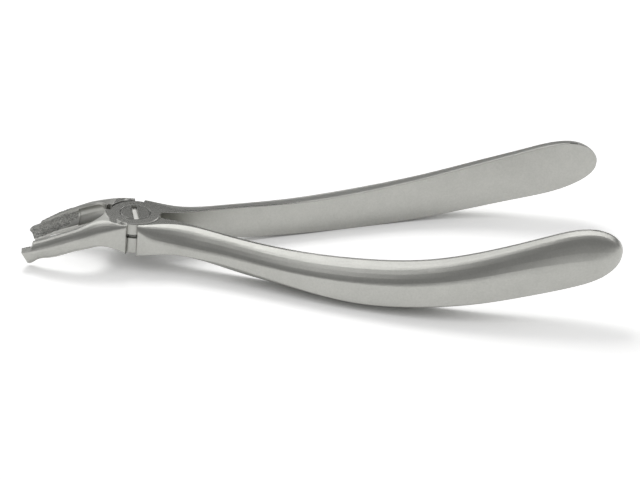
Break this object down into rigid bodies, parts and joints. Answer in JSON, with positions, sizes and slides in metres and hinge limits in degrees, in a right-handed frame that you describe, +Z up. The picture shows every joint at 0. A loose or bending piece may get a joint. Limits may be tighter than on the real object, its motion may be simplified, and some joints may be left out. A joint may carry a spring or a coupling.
{
  "type": "dental extraction forceps",
  "caption": "Steel tooth extraction forceps with bowed handles, a screwed lap joint and gouge-shaped pronged beaks for upper molars.",
  "frame": {"origin": "under the middle of the whole part, on the plane it lies on", "axes": "+X from the beaks to the handle ends, +Y towards the handle of the upper half, +Z up from the plane it lies on; the pivot leans 5.8 degrees from +Z towards +X"},
  "size_m": [0.1738, 0.0718, 0.0263],
  "materials": {
    "satin_steel": "satin stainless steel, glass-bead blasted",
    "screw_steel": "ground flush with the joint",
    "grit": "hard grit bonded to the gripping face"
  },
  "bodies": {
    "lower_half": {"lower_half": "satin_steel", "pivot_screw": "screw_steel", "lower_half_grit": "grit"},
    "upper_half": {"upper_half": "satin_steel", "upper_half_grit": "grit"}
  },
  "joints": [
    {"name": "lap_pivot", "type": "hinge", "parent": "lower_half", "child": "upper_half", "pos_m": [-0.05362, 0, 0.0103], "axis": [0.1011, 0, 0.9949], "range_deg": [-20, 19.5]}
  ]
}
